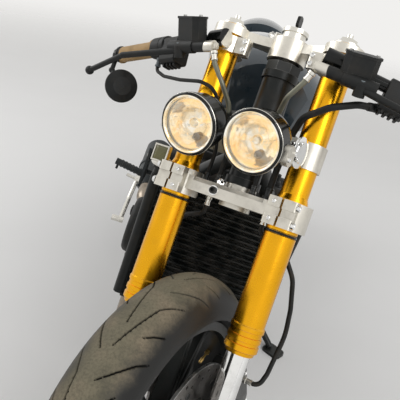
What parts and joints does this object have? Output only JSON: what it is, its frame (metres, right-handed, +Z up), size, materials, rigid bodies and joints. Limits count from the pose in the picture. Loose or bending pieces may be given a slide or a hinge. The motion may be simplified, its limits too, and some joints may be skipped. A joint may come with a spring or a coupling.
{
  "type": "cafe racer motorcycle",
  "caption": "Unfaired cafe racer with twin round head lamps, upside-down fork and clip-on bars, leaning on its side stand with the steering turned to the right.",
  "frame": {"origin": "on the ground under the middle of the bike's box", "axes": "the bike's front faces -Y, its left side is +X, +Z is up"},
  "size_m": [0.7974, 2.0265, 1.0159],
  "materials": {
    "gold": "gold anodised, satin",
    "alloy": "satin",
    "chrome": "polished",
    "black_metal": "satin black",
    "engine_alloy": "cast, dark",
    "steel": "ground",
    "exhaust_steel": "brushed",
    "rubber_tyre": "worn, dusty",
    "grip_tan": "worn tan",
    "seat_leather": "stitched",
    "tank_paint": "gloss dark blue grey",
    "cap_metal": "polished",
    "control_black": "satin",
    "hose_rubber": "matt",
    "reflector_chrome": "polished reflector",
    "lens_glass": "clear",
    "tail_red": "red lens"
  },
  "bodies": {
    "root": {"frame": "black_metal", "swingarm": "black_metal", "swingarm_pivot": "chrome", "rear_axle": "chrome", "rear_shock": "steel", "crankcase": "engine_alloy", "cylinders": "engine_alloy", "cylinder_head": "engine_alloy", "engine_covers": "black_metal", "intakes": "engine_alloy", "radiator": "black_metal", "exhaust_headers": "exhaust_steel", "silencer": "exhaust_steel", "fuel_tank": "tank_paint", "filler_cap": "cap_metal", "seat": "seat_leather", "tail_cowl": "tank_paint", "tail_lamp": "tail_red", "footpegs": "black_metal", "foot_levers": "alloy", "drive_chain": "steel", "drive_sprocket": "steel", "rear_caliper": "black_metal"},
    "steering": {"lower_yoke": "alloy", "upper_yoke": "alloy", "stem_collar": "black_metal", "ignition_housing": "alloy", "fork_tubes": "gold", "fork_caps": "alloy", "fork_sliders": "chrome", "front_calipers": "black_metal", "front_axle": "chrome", "lamp_shells": "black_metal", "lamp_lenses": "lens_glass", "lamp_reflectors": "reflector_chrome", "lamp_brackets": "alloy", "handlebars": "black_metal", "grips": "grip_tan", "switchgear": "control_black", "brake_master": "control_black", "clutch_perch": "control_black", "mirrors": "control_black", "hoses": "hose_rubber"},
    "front_wheel": {"front_tyre": "rubber_tyre", "front_rim": "black_metal", "front_discs": "steel"},
    "rear_wheel": {"rear_tyre": "rubber_tyre", "rear_rim": "black_metal", "rear_disc": "steel", "sprocket": "steel"},
    "side_stand": {"side_stand": "black_metal"}
  },
  "joints": [
    {"name": "steering", "type": "hinge", "parent": "root", "child": "steering", "pos_m": [-0.01792, -0.52128, 0.712], "axis": [0.1586, 0.408, 0.8991], "range_deg": [0, 58]},
    {"name": "front_wheel_spin", "type": "hinge", "parent": "steering", "child": "front_wheel", "pos_m": [-0.10543, -0.7382, 0.29979], "axis": [0.8956, -0.4428, 0.0429], "continuous": true},
    {"name": "rear_wheel_spin", "type": "hinge", "parent": "root", "child": "rear_wheel", "pos_m": [-0.08823, 0.69838, 0.31158], "axis": [0.9848, -0.0002, -0.1736], "continuous": true},
    {"name": "side_stand_fold", "type": "hinge", "parent": "root", "child": "side_stand", "pos_m": [0.02834, 0.07822, 0.19033], "axis": [0.6869, -0.096, 0.7204], "range_deg": [0, 109.66]}
  ]
}
